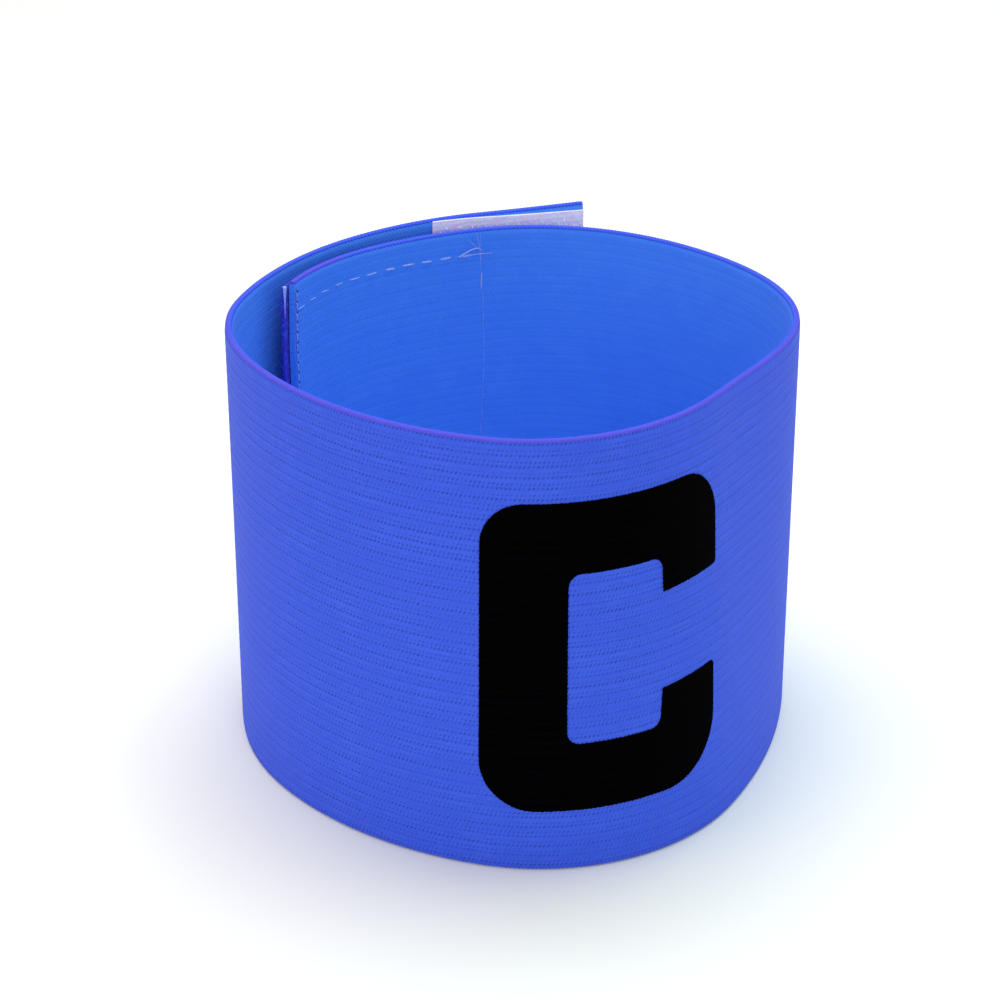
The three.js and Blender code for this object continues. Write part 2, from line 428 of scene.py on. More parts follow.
def makeWeave():
    tree, given, out = newGroup(
        "clothWeave",
        {
            "Place": (arrow, None),
            "Pick": (number, 0.663),
            "Rib": (number, 1.6667),
            "Slant": (number, 0.62),
        },
        {"Dots": number, "Height": number, "Crest": number, "Groove": number, "Picks": number, "Mottle": number},
    )
    metres = given["Place"]
    split = tree.nodes.new("ShaderNodeSeparateXYZ")
    inMm = tree.nodes.new("ShaderNodeVectorMath")
    inMm.operation = "SCALE"
    feed(tree, inMm.inputs[0], metres)
    inMm.inputs["Scale"].default_value = 1000
    # the picks don't lie quite straight
    wander = calc(tree, "SUBTRACT", noiseOn(tree, inMm.outputs[0], 0.5, 3, 0.6), 0.5)
    feed(tree, split.inputs[0], inMm.outputs[0])
    along = calc(tree, "ADD", split.outputs[0], calc(tree, "MULTIPLY", wander, 0.3))
    up = calc(tree, "ADD", split.outputs[1], calc(tree, "MULTIPLY", wander, 0.1))
    pick, rib, slant = given["Pick"], given["Rib"], given["Slant"]
    halfPick, halfRib = calc(tree, "MULTIPLY", pick, 0.5), calc(tree, "MULTIPLY", rib, 0.5)
    minusPick, minusRib = calc(tree, "MULTIPLY", pick, -0.5), calc(tree, "MULTIPLY", rib, -0.5)

    def dotRow(sink, shift, wide, tall):
        # small gaps between the slanted picks, which the finishes darken with painted shade
        rise = calc(tree, "WRAP", calc(tree, "SUBTRACT", up, sink), halfRib, minusRib)
        side = calc(tree, "ADD", calc(tree, "ADD", along, shift), calc(tree, "MULTIPLY", rise, slant))
        side = calc(tree, "WRAP", side, halfPick, minusPick)
        across = calc(tree, "POWER", calc(tree, "ABSOLUTE", calc(tree, "DIVIDE", side, wide)), 2)
        high = calc(tree, "POWER", calc(tree, "ABSOLUTE", calc(tree, "DIVIDE", rise, tall)), 2)
        return fade(tree, calc(tree, "SQRT", calc(tree, "ADD", across, high)), 1.3, 0.3), rise

    # two rows of gaps to a rib, each gap more or less open, and whole patches of them nearly closed
    uneven = noiseOn(tree, inMm.outputs[0], 1.3, 2)
    gaping = noiseOn(tree, stretchPlace(tree, inMm.outputs[0], (0.9, 1.7, 1.0)), 1.0, 2)
    patches = fade(tree, noiseOn(tree, inMm.outputs[0], 0.16, 3, 0.6), 0.36, 0.58, 0.7, 1.0)
    strong, fromStrong = dotRow(1.0, 0.0, 0.17, 0.25)
    faint, fromFaint = dotRow(1.68, 0.2, 0.16, 0.21)
    strong = calc(tree, "MULTIPLY", strong, fade(tree, uneven, 0.3, 0.62, 0.55, 1.0))
    faint = calc(tree, "MULTIPLY", faint, fade(tree, gaping, 0.32, 0.62, 0.35, 0.8))
    dots = calc(tree, "MULTIPLY", calc(tree, "MAXIMUM", strong, faint), patches)
    # a thin crest of covered rubber runs along each rib, with slanted picks over the rest
    fromCrest = calc(tree, "WRAP", calc(tree, "SUBTRACT", up, 0.47), halfRib, minusRib)
    crest = fade(tree, calc(tree, "ABSOLUTE", fromCrest), 0.36, 0.05)
    groove = fade(tree, calc(tree, "ABSOLUTE", fromStrong), 0.36, 0.0)
    lean = calc(tree, "ADD", along, calc(tree, "MULTIPLY", up, slant))
    turns = calc(tree, "MULTIPLY", calc(tree, "DIVIDE", lean, pick), math.tau)
    picks = calc(tree, "ADD", calc(tree, "MULTIPLY", calc(tree, "COSINE", turns), -0.5), 0.5)
    picks = calc(tree, "MULTIPLY", picks, calc(tree, "SUBTRACT", 1.0, calc(tree, "MULTIPLY", crest, 0.75)))
    yarn = noiseOn(tree, stretchPlace(tree, inMm.outputs[0], (3.2, 9.0, 1.0)), 1.0, 3, 0.6)
    height = calc(tree, "ADD", calc(tree, "MULTIPLY", crest, 0.05), calc(tree, "MULTIPLY", picks, 0.2))
    height = calc(tree, "ADD", height, calc(tree, "MULTIPLY", yarn, 0.18))
    height = calc(tree, "SUBTRACT", height, calc(tree, "MULTIPLY", dots, 0.45))
    streaks = noiseOn(tree, stretchPlace(tree, inMm.outputs[0], (0.06, 1.1, 1.0)), 1.0, 3, 0.6)
    clouds = noiseOn(tree, inMm.outputs[0], 0.16, 3, 0.6)
    mottle = calc(tree, "ADD", calc(tree, "MULTIPLY", streaks, 0.25), calc(tree, "MULTIPLY", clouds, 0.35))
    mottle = calc(tree, "ADD", mottle, calc(tree, "MULTIPLY", yarn, 0.4))
    made = {"Dots": dots, "Height": height, "Crest": crest, "Groove": groove, "Picks": picks, "Mottle": mottle}
    for label, value in made.items():
        feed(tree, out[label], value)
    return tree


weave = makeWeave()

finishes = {
    # the deep tone is painted shade in the gaps between picks and in the grooves between ribs; the shares say how much
    # the gaps, the grooves between ribs and the picks show
    "outerFace": {
        "tone": (0.033, 0.092, 0.75, 1),
        "deep": (0.011, 0.033, 0.52, 1),
        "light": (0.064, 0.148, 0.91, 1),
        "dots": 0.8,
        "grooves": 0.06,
        "picks": 0.5,
        "relief": 0.26,
    },
    # the inner face's tone is lighter and more azure than the outer face's: partly its own colour and partly painted
    # light, the fill from above and from the blue walls that the inside gets
    "innerFace": {
        "tone": (0.064, 0.268, 0.95, 1),
        "deep": (0.035, 0.152, 0.77, 1),
        "light": (0.089, 0.325, 0.98, 1),
        "dots": 0.28,
        "grooves": 0.18,
        "picks": 0.1,
        "relief": 0.12,
    },
    # painted highlight: a violet copy of the elastic for the upper rim, where it catches the light from above
    "paintedRimHighlight": {
        "tone": (0.075, 0.074, 0.65, 1),
        "deep": (0.03, 0.03, 0.5, 1),
        "light": (0.11, 0.09, 0.74, 1),
        "dots": 0.3,
        "grooves": 0.0,
        "picks": 0.0,
        "relief": 0.1,
    },
    "loopTape": (0.02, 0.014, 0.5, 1),
    "hookTape": (0.88, 0.87, 1.0, 1),
    "hookSpecks": (1.0, 0.7, 0.98, 1),
    # hookDeep: darker tone for broad patches, and painted shade in the gaps of the tape's weave
    "hookDeep": (0.64, 0.64, 1.0, 1),
    "ink": (0.0003, 0.0003, 0.0006, 1),
    "inkWorn": (0.0012, 0.0012, 0.003, 1),
    "whiteThread": (0.44, 0.55, 0.92, 1),
    "paleThread": (0.26, 0.42, 0.95, 1),
    "blueThread": (0.09, 0.24, 0.9, 1),
    # painted shade of the needle holes
    "holeShade": (0.03, 0.085, 0.66, 1),
}


def elasticFinish(name, face):
    material, tree, shader = newFinish(
        name,
        Roughness=0.72,
        Specular_IOR_Level=0.22,
        Sheen_Weight=0.1,
        Sheen_Roughness=0.4,
        Sheen_Tint=(0.5, 0.45, 1.0, 1),
    )
    woven = useGroup(tree, weave, Place=readMap(tree))
    lighter = calc(tree, "MULTIPLY", fade(tree, woven["Mottle"], 0.38, 0.62), 0.6)
    lighter = calc(tree, "MAXIMUM", lighter, calc(tree, "MULTIPLY", woven["Picks"], face["picks"]))
    # painted shade in the weave's gaps and in the grooves between ribs
    gapAndGrooveShade = calc(tree, "MULTIPLY", woven["Dots"], face["dots"])
    gapAndGrooveShade = calc(tree, "MAXIMUM", gapAndGrooveShade, calc(tree, "MULTIPLY", woven["Groove"], face["grooves"]))
    tone = blendColours(tree, lighter, face["tone"], face["light"])
    tone = blendColours(tree, gapAndGrooveShade, tone, face["deep"])
    feed(tree, shader["Base Color"], tone)
    feed(tree, shader["Roughness"], fade(tree, woven["Mottle"], 0.2, 0.8, 0.62, 0.86))
    feed(tree, shader["Normal"], bumpFrom(tree, woven["Height"], face["relief"]))
    return material


def tapeFinish(name, base, deep, specks, roughness):
    material, tree, shader = newFinish(
        name, Specular_IOR_Level=0.3, Sheen_Weight=0.25, Sheen_Roughness=0.5, Sheen_Tint=(0.7, 0.65, 1.0, 1)
    )
    place = readMap(tree)
    woven = useGroup(tree, weave, Place=place, Pick=0.5, Rib=0.9, Slant=0.1)
    fine = noiseOn(tree, stretchPlace(tree, place, (850, 1200, 1)), 1.0, 3, 0.65)
    broad = noiseOn(tree, stretchPlace(tree, place, (420, 700, 1)), 1.0, 2, 0.5)
    tone = blendColours(tree, fade(tree, fine, 0.5, 0.62), base, specks)
    tone = blendColours(tree, calc(tree, "MULTIPLY", fade(tree, broad, 0.56, 0.66), 0.5), tone, deep)
    # painted shade in the gaps of the tape's weave
    tone = blendColours(tree, calc(tree, "MULTIPLY", woven["Dots"], 0.3), tone, deep)
    feed(tree, shader["Base Color"], tone)
    feed(tree, shader["Roughness"], fade(tree, fine, 0.2, 0.8, roughness - 0.1, roughness + 0.1))
    feed(tree, shader["Normal"], bumpFrom(tree, calc(tree, "ADD", woven["Height"], fine), 0.12))
    return material


def inkFinish():
    material, tree, shader = newFinish("letter_ink", Specular_IOR_Level=0.01)
    woven = useGroup(tree, weave, Place=readMap(tree))
    rubbed = calc(tree, "MULTIPLY", woven["Crest"], fade(tree, woven["Mottle"], 0.42, 0.66))
    feed(tree, shader["Base Color"], blendColours(tree, rubbed, finishes["ink"], finishes["inkWorn"]))
    feed(tree, shader["Roughness"], fade(tree, woven["Mottle"], 0.2, 0.8, 0.72, 0.92))
    feed(tree, shader["Normal"], bumpFrom(tree, woven["Height"], 0.2))
    return material


def threadFinish(name, base, shade):
    material, tree, shader = newFinish(name, Specular_IOR_Level=0.35, Sheen_Weight=0.2)
    place = readMap(tree)
    ply = tree.nodes.new("ShaderNodeTexWave")
    ply.bands_direction = "DIAGONAL"
    ply.inputs["Scale"].default_value = 900
    ply.inputs["Distortion"].default_value = 0.6
    feed(tree, ply.inputs["Vector"], place)
    feed(tree, shader["Base Color"], blendColours(tree, calc(tree, "MULTIPLY", ply.outputs["Fac"], 0.5), base, shade))
    feed(tree, shader["Roughness"], fade(tree, ply.outputs["Fac"], 0.0, 1.0, 0.55, 0.75))
    feed(tree, shader["Normal"], bumpFrom(tree, ply.outputs["Fac"], 0.05))
    return material


outerCloth = elasticFinish("woven_elastic", finishes["outerFace"])
innerCloth = elasticFinish("woven_elastic_inner", finishes["innerFace"])
# lit copy of the elastic, painted highlight on the upper rim
rimHighlightCloth = elasticFinish("woven_elastic_painted_rim_highlight", finishes["paintedRimHighlight"])
loopCloth = tapeFinish("loop_tape", finishes["loopTape"], finishes["outerFace"]["deep"], finishes["outerFace"]["tone"], 0.85)
hookCloth = tapeFinish("hook_tape", finishes["hookTape"], finishes["hookDeep"], finishes["hookSpecks"], 0.5)
letterInk = inkFinish()
whiteThread = threadFinish("white_thread", finishes["whiteThread"], (0.22, 0.36, 0.9, 1))
paleThread = threadFinish("pale_thread", finishes["paleThread"], (0.1, 0.26, 0.88, 1))
holeShadeFinish = threadFinish("hole_shade", finishes["holeShade"], (0.012, 0.03, 0.4, 1))
blueThread = threadFinish("blue_thread", finishes["blueThread"], (0.04, 0.09, 0.7, 1))


def dress(piece, *materials):
    piece.data.materials.clear()
    for material in materials:
        piece.data.materials.append(material)
    pickOnly(piece)
    bpy.ops.object.shade_smooth_by_angle(angle=math.radians(50))


print("finishes made")


# Elastic band

band = {
    "ribs": 42,
    "stations": 140,
    "relief": (-0.015, -0.005, 0.0, -0.01, -0.03, -0.015),  # of each row of a rib, from its lower edge up
    "edgeRounding": 0.12,
    "edgeTaper": (0.42, 0.66, 0.82, 0.92, 0.98),  # share of the thickness left on the rows next to a long edge
    "rimHighlightShare": 0.5,  # this much of the upper long edge gets the painted rim highlight
    "rimHighlightFrom": -0.1,  # further in, that edge gets no painted highlight and keeps the outer face's tone, but not on the tail
    "rimHighlightTail": 14,
    "endSlip": (0.9, 12),  # the inner end runs out this far over this height below its upper corner
    "endPinch": 0.82,  # share of the thickness left at the two cut ends
}


def endSlip(height):
    most, drop = band["endSlip"]
    return most * min((strip["height"] - height) / drop, 1)


def slipEnd(piece, reach):
    # the inner end isn't cut square
    most, drop = band["endSlip"]
    for depth in range(drop):
        level = strip["height"] - depth - 0.5
        moveWhere(piece, lambda co: co.x < reach * mm and co.z < level * mm, (-most / drop, 0, 0))


# where the upper rim gets its painted highlight: on its outer half, and all across it on the tail
def hasPaintedRimHighlight(at):
    return at.y > band["rimHighlightFrom"] * mm or at.x < band["rimHighlightTail"] * mm


def makeBand():
    pitch = strip["height"] / band["ribs"]
    rows = len(band["relief"])
    face = strip["thickness"] / 2
    piece = addFlatGrid("elastic_cloth", 0, strip["length"], 0, pitch, face, band["stations"], rows)
    for row, relief in enumerate(band["relief"]):
        levels = [row * pitch / rows] + ([pitch] if row == 0 else [])
        moveWhere(piece, lambda co: any(abs(co.z / mm - level) < 0.01 for level in levels), (0, relief, 0))
    stack = piece.modifiers.new("ribs", "ARRAY")
    stack.count = band["ribs"]
    stack.use_relative_offset = False
    stack.use_constant_offset = True
    stack.constant_offset_displace = (0, 0, pitch * mm)
    stack.use_merge_vertices = True
    stack.merge_threshold = 1e-5
    back = piece.modifiers.new("back face", "MIRROR")
    back.use_axis = (False, True, False)
    back.use_mirror_merge = False
    finishModifiers(piece)
    selectWhere(piece, lambda co: False)
    bpy.ops.mesh.select_mode(type="EDGE")
    bpy.ops.mesh.select_non_manifold(
        extend=False, use_wire=False, use_boundary=True, use_multi_face=False, use_non_contiguous=False, use_verts=False
    )
    bpy.ops.mesh.bridge_edge_loops()
    bpy.ops.object.mode_set(mode="OBJECT")
    rounding, top = band["edgeRounding"], strip["height"]
    for level, inwards in ((0, 1), (top, -1)):
        for row, share in enumerate(band["edgeTaper"]):
            at = level + inwards * row * pitch / rows
            selectWhere(piece, lambda co: abs(co.z / mm - at) < 0.01)
            bpy.ops.transform.resize(value=(1, share, 1), center_override=(0, 0, 0))
            bpy.ops.object.mode_set(mode="OBJECT")
        moveWhere(piece, lambda co: abs(co.z / mm - level) < 0.01, (0, 0, inwards * rounding))
    for end in (0, strip["length"]):
        selectWhere(piece, lambda co: abs(co.x / mm - end) < 0.01)
        bpy.ops.transform.resize(value=(1, band["endPinch"], 1), center_override=(0, 0, 0))
        bpy.ops.object.mode_set(mode="OBJECT")
    slipEnd(piece, 0.01)
    tidyNormals(piece)
    dress(piece, outerCloth, innerCloth, rimHighlightCloth)
    for polygon in piece.data.polygons:
        atInnerEnd = polygon.center.x < 0.01 * mm
        # only the upper rim gets the painted highlight; the lower rim keeps the faces' tones
        onEdge = polygon.center.z > (top - band["rimHighlightShare"]) * mm
        if onEdge:
            polygon.material_index = 2 if hasPaintedRimHighlight(polygon.center) else 0
        else:
            polygon.material_index = 1 if polygon.normal.y < -0.5 or atInnerEnd else 0
    bendOnPath(piece)
    return piece


elasticBand = makeBand()
print("elastic band:", len(elasticBand.data.polygons), "faces")


# Loops of weft that turn round the strip's two long edges

edgeLoop = {"pitch": 0.6629, "wide": 0.31, "thick": 0.12, "high": 0.4, "across": 1.08, "slant": 0.1}


def makeEdgeLoops():
    count = int(strip["length"] / edgeLoop["pitch"])
    reach = edgeLoop["across"] / 2 - edgeLoop["thick"]
    edges = []
    centre = edgeLoop["high"] + edgeLoop["thick"]
    for level, upwards in ((strip["height"] - centre, 1), (centre, -1)):
        bpy.ops.object.select_all(action="DESELECT")
        bpy.ops.mesh.primitive_torus_add(
            major_radius=edgeLoop["high"] * mm,
            minor_radius=edgeLoop["thick"] * mm,
            major_segments=12,
            minor_segments=5,
            rotation=(0, math.pi / 2, 0),
        )
        loop = bpy.context.object
        bpy.ops.object.transform_apply(location=False, rotation=True, scale=False)
        loop.scale = (edgeLoop["wide"] / edgeLoop["thick"], reach / edgeLoop["high"], 1)
        settle(loop)
        selectWhere(loop, lambda co: True)
        bpy.ops.mesh.bisect(
            plane_co=(0, 0, -0.05 * mm * upwards), plane_no=(0, 0, upwards), use_fill=True, clear_inner=True
        )
        bpy.ops.object.mode_set(mode="OBJECT")
        moveWhere(loop, lambda co: co.y > 0.2 * mm, (edgeLoop["slant"], 0, 0))
        moveWhere(loop, lambda co: co.y < -0.2 * mm, (-edgeLoop["slant"], 0, 0))
        loop.location = Vector((edgeLoop["pitch"] / 2, 0, level)) * mm
        settle(loop)
        row = loop.modifiers.new("row", "ARRAY")
        row.count = count
        row.use_relative_offset = False
        row.use_constant_offset = True
        row.constant_offset_displace = (edgeLoop["pitch"] * mm, 0, 0)
        finishModifiers(loop)
        edges.append(loop)
    piece = joinPieces("edge_loops", edges)
    tidyNormals(piece)
    dress(piece, rimHighlightCloth, outerCloth)
    # the upper loops get the painted rim highlight, the lower loops the outer face's tone
    for polygon in piece.data.polygons:
        upper = polygon.center.z > strip["height"] / 2 * mm
        polygon.material_index = 0 if upper and hasPaintedRimHighlight(polygon.center) else 1
    bendOnPath(piece)
    return piece


edgeLoops = makeEdgeLoops()
print("edge loops:", len(edgeLoops.data.polygons), "faces")


# Loop tape on the outer face of the inner end

loopTape = {
    "start": -1.5,  # it looks out a little past the elastic's end
    "length": 43.1,
    "margin": 0.8,
    "out": 0.77,
    "ground": 0.45,
    "pileHeight": 0.8,
    "pileStep": 0.9,
    "thread": 0.09,
}


def makeGround(name, tape, out, cells):
    height = strip["height"] - 2 * tape["margin"]
    piece = addFlatGrid(
        name, tape["start"], tape["length"], tape["margin"], height, out, round(tape["length"] / cells), round(height / cells)
    )
    wall = piece.modifiers.new("thickness", "SOLIDIFY")
    wall.thickness = tape["ground"] * mm
    wall.offset = 0
    edge = piece.modifiers.new("soft edge", "BEVEL")
    edge.width = 0.12 * mm
    edge.segments = 2
    edge.limit_method = "ANGLE"
    finishModifiers(piece)
    tidyNormals(piece)
    return piece


def makePileLoop(radius, thread, around, sides):
    bpy.ops.object.select_all(action="DESELECT")
    bpy.ops.mesh.primitive_torus_add(
        major_radius=radius * mm, minor_radius=thread * mm, major_segments=around, minor_segments=sides
    )
    loop = bpy.context.object
    # the ring stands in the x y plane; what lies below the ground is cut off
    selectWhere(loop, lambda co: True)
    bpy.ops.mesh.bisect(plane_co=(0, -radius * 0.35 * mm, 0), plane_no=(0, 1, 0), use_fill=True, clear_inner=True)
    bpy.ops.object.mode_set(mode="OBJECT")
    return loop


def makeLoopTape():
    chance = random.Random(7)
    tape = loopTape
    ground = makeGround("loop_ground", tape, tape["out"] + tape["ground"] / 2, 2.4)
    slipEnd(ground, tape["start"] + 0.3)
    radius = (tape["pileHeight"] - tape["thread"]) / 1.6
    loop = makePileLoop(radius, tape["thread"], 9, 3)
    places = []
    columns = int((tape["length"] - 1.2) / tape["pileStep"])
    rows = int((strip["height"] - 2 * tape["margin"] - 1.2) / tape["pileStep"])
    for column in range(columns):
        for row in range(rows):
            x = tape["start"] + 1 + (column + chance.uniform(-0.3, 0.3)) * tape["pileStep"]
            z = tape["margin"] + 1 + (row + 0.5 * (column % 2) + chance.uniform(-0.3, 0.3)) * tape["pileStep"]
            turn = Matrix.Rotation(chance.uniform(0, math.pi), 3, "Y") @ Matrix.Rotation(chance.uniform(-0.7, 0.7), 3, "X")
            turn = turn @ Matrix.Diagonal((chance.uniform(0.8, 1.5), chance.uniform(0.75, 1.15), 1))
            x -= endSlip(z) * max(0, 1 - column / 6)
            places.append(((x, tape["out"] + tape["ground"] + radius * 0.3, z), turn))
    pile = stampCopies("loop_pile", loop, places)
    bendOnPath(ground)
    bendOnPath(pile)
    dress(ground, loopCloth)
    dress(pile, loopCloth)
    return ground, pile


loopGround, loopPile = makeLoopTape()
print("loop tape:", len(loopPile.data.polygons), "faces of pile")


# Hook tape on the inner face of the flap

hookTape = {
    "start": 321.6,
    "length": 28.3,
    "end": 349.85,  # it is trimmed here
    "tilt": 2.2,  # degrees, its outer end lies lower
    "margin": 0.8,
    "out": 0.77,
    "ground": 0.4,
    "hookHeight": 0.6,
    "hookStep": (1.05, 1.3),
    "bare": 1.1,  # edge without hooks
    "thread": 0.085,
}


def makeHookTape():
    chance = random.Random(11)
    tape = hookTape
    ground = makeGround("hook_ground", tape, -tape["out"] - tape["ground"] / 2, 2.0)
    centre = Vector((tape["start"] + tape["length"] / 2, 0, strip["height"] / 2)) * mm
    radius = (tape["hookHeight"] - tape["thread"]) / 1.9
    hook = makePileLoop(radius, tape["thread"], 10, 4)
    # the end of each hook is open on one side
    selectWhere(hook, lambda co: co.x > radius * 0.55 * mm and co.y < radius * 0.25 * mm)
    bpy.ops.mesh.delete(type="FACE")
    bpy.ops.mesh.select_non_manifold(use_wire=False, use_multi_face=False, use_non_contiguous=False, use_verts=False)
    bpy.ops.mesh.edge_face_add()
    bpy.ops.object.mode_set(mode="OBJECT")
    stepX, stepZ = tape["hookStep"]
    columns = int((tape["length"] - 2 * tape["bare"]) / stepX) + 1
    rows = int((strip["height"] - 2 * tape["margin"] - 2 * tape["bare"]) / stepZ) + 1
    places = []
    for column in range(columns):
        for row in range(rows):
            x = tape["start"] + tape["bare"] + (column + chance.uniform(-0.12, 0.12)) * stepX
            z = tape["margin"] + tape["bare"] + (row + 0.5 * (column % 2) + chance.uniform(-0.1, 0.1)) * stepZ
            leanedX = x + math.tan(math.radians(tape["tilt"])) * (z - strip["height"] / 2)
            if z > strip["height"] - tape["margin"] - tape["bare"] * 0.6 or leanedX > tape["end"] - tape["bare"] * 0.6:
                continue
            facing = math.pi / 2 * (1 if column % 2 else -1) + chance.uniform(-0.35, 0.35)
            turn = Matrix.Rotation(math.pi, 3, "Z") @ Matrix.Rotation(facing, 3, "Y")
            places.append(((x, -tape["out"] - tape["ground"] - radius * 0.3, z), turn))
    hooks = stampCopies("hook_field", hook, places)
    tidyNormals(hooks)
    for piece in (ground, hooks):
        pickOnly(piece)
        bpy.ops.transform.rotate(value=-math.radians(tape["tilt"]), orient_axis="Y", center_override=centre)
        settle(piece)
    selectWhere(ground, lambda co: True)
    bpy.ops.mesh.bisect(plane_co=(tape["end"] * mm, 0, 0), plane_no=(1, 0, 0), use_fill=True, clear_outer=True)
    bpy.ops.object.mode_set(mode="OBJECT")
    tidyNormals(ground)
    bendOnPath(ground)
    bendOnPath(hooks)
    dress(ground, hookCloth)
    dress(hooks, hookCloth)
    return ground, hooks


hookGround, hookField = makeHookTape()
print("hook tape:", len(hookField.data.polygons), "faces of hooks")


# Letter, a plain block C printed on the front

letter = {
    "width": 41.6,
    "height": 50,
    "low": 10.4,
    "stem": 13,
    "bar": 11.2,
    "upperArmDrop": 16.5,
    "lowerArmRise": 17.9,
    "lowerArmInset": 1.8,
    "innerCorner": 2,
    "tipCorner": 0.7,
    "corners": {"upperRight": 8, "upperLeft": 6.5, "lowerLeft": 8.5, "lowerRight": 10.5},
    "sunk": 0.04,
    "film": 0.15,
    "tooth": 0.07,  # how far the edge steps in and out with the picks
    "edgeStep": 0.33,
}


def letterOutline():
    # counter-clockwise from the upper arm's end, each row a corner point and its radius
    wide, high, stem, bar = letter["width"], letter["height"], letter["stem"], letter["bar"]
    lowerWide = wide - letter["lowerArmInset"]
    corner, tip, inner = letter["corners"], letter["tipCorner"], letter["innerCorner"]
    armIn = wide - stem
    rows = [
        (wide - 0.5, high - letter["upperArmDrop"] + 0.35, tip),
        (wide, high, corner["upperRight"]),
        (0, high, corner["upperLeft"]),
        (0, 0, corner["lowerLeft"]),
        (lowerWide - 0.3, 0, corner["lowerRight"]),
        (lowerWide + 0.2, letter["lowerArmRise"] + 0.3, tip),
        (armIn, letter["lowerArmRise"] - 0.45, 0.1),
        (armIn - 0.4, bar, inner),
        (stem, bar, inner),
        (stem, high - bar, inner),
        (armIn, high - bar, inner),
        (armIn + 0.2, high - letter["upperArmDrop"] - 0.35, 0.1),
    ]
    outline = []
    for i, (x, z, radius) in enumerate(rows):
        here = Vector((x, z))
        back = (Vector(rows[i - 1][:2]) - here).normalized()
        ahead = (Vector(rows[(i + 1) % len(rows)][:2]) - here).normalized()
        half = back.angle(ahead) / 2
        reach = radius / math.tan(half)
        centre = here + (back + ahead).normalized() * radius / math.sin(half)
        first, last = here + back * reach - centre, here + ahead * reach - centre
        steps = max(2, round(radius * (math.pi - 2 * half) / letter["edgeStep"]))
        for k in range(steps + 1):
            outline.append(centre + first.slerp(last, k / steps).normalized() * radius)
    return outline


def raggedOutline():
    # points along the outline at the pick's spacing, stepping in and out as ink does on a weave
    chance = random.Random(3)
    outline = letterOutline()
    ragged = []
    for a, b in zip(outline, outline[1:] + outline[:1]):
        gap = b - a
        if gap.length < 1e-6:
            continue
        across = Vector((gap.y, -gap.x)).normalized()
        count = max(1, round(gap.length / letter["edgeStep"]))
        for k in range(count):
            step = letter["tooth"] * (0.6 if len(ragged) % 2 else -0.6) + chance.uniform(-0.5, 0.5) * letter["tooth"]
            ragged.append(a + gap * k / count + across * step)
    return ragged


def makeLetter():
    data = bpy.data.curves.new("letter_c_print", "CURVE")
    data.dimensions = "2D"
    data.fill_mode = "BOTH"
    outline = raggedOutline()
    line = data.splines.new("POLY")
    line.points.add(len(outline) - 1)
    line.use_cyclic_u = True
    for knot, at in zip(line.points, outline):
        # the letter is read from outside, where the strip runs from right to left
        knot.co = ((letter["width"] / 2 - at.x) * mm, at.y * mm, 0, 1)
    piece = bpy.data.objects.new("letter_c_print", data)
    bpy.context.scene.collection.objects.link(piece)
    pickOnly(piece)
    bpy.ops.object.convert(target="MESH")
    piece = bpy.context.object
    face = strip["thickness"] / 2 - letter["sunk"]
    piece.rotation_euler = (math.pi / 2, 0, 0)
    piece.location = Vector((strip["frontAt"], face, letter["low"])) * mm
    settle(piece)
    selectWhere(piece, lambda co: True)
    left = strip["frontAt"] - letter["width"] / 2
    for k in range(1, int(letter["width"] / 1.6)):
        bpy.ops.mesh.select_all(action="SELECT")
        bpy.ops.mesh.bisect(plane_co=((left + 1.6 * k) * mm, 0, 0), plane_no=(1, 0, 0))
    for k in range(1, int(letter["height"] / 1.6667)):
        bpy.ops.mesh.select_all(action="SELECT")
        bpy.ops.mesh.bisect(plane_co=(0, 0, (letter["low"] + 1.6667 * k) * mm), plane_no=(0, 0, 1))
    bpy.ops.object.mode_set(mode="OBJECT")
    film = piece.modifiers.new("film", "SOLIDIFY")
    film.thickness = letter["film"] * mm
    film.offset = 1 if piece.data.polygons[0].normal.y > 0 else -1
    finishModifiers(piece)
    tidyNormals(piece)
    bendOnPath(piece)
    dress(piece, letterInk)
    return piece


letterC = makeLetter()
print("letter:", len(letterC.data.polygons), "faces")


# Stitches that hold the tapes

seams = {
    "whiteRow": {"from": 1.8, "to": 39.5, "level": 65.4, "pitch": 3.72, "length": 2.4, "thread": 0.15},
    "lowerRow": {"from": 1.8, "to": 39.5, "level": 4.6, "pitch": 3.72, "length": 2.4, "thread": 0.15},
    "tapeColumn": {"at": 41.95, "from": 6.5, "to": 68, "pitch": 3.6, "length": 3.5, "thread": 0.075, "bright": (57, 63)},
    "endColumn": {"at": 0.4, "from": 2.5, "to": 68, "pitch": 1.75, "length": 1.6, "thread": 0.17},
    "flapRows": {"levels": (4.6, 65.4), "from": 324, "to": 347, "pitch": 3.1, "length": 2.1, "thread": 0.13},
    "flapColumns": {"at": (323.6, 347.8), "from": 6, "to": 65, "pitch": 3.1, "length": 2.1, "thread": 0.13},
}


def makeStitch(length, thread):
    bpy.ops.object.select_all(action="DESELECT")
    bpy.ops.mesh.primitive_uv_sphere_add(segments=8, ring_count=10, radius=1, rotation=(0, math.pi / 2, 0))
    stitch = bpy.context.object
    bpy.ops.object.transform_apply(location=False, rotation=True, scale=False)
    stitch.scale = Vector((length / 2, thread * 0.85, thread)) * mm
    settle(stitch)
    # the ends dip into the cloth
    moveWhere(stitch, lambda co: abs(co.x) > length * 0.4 * mm, (0, -thread * 0.6, 0))
    return stitch


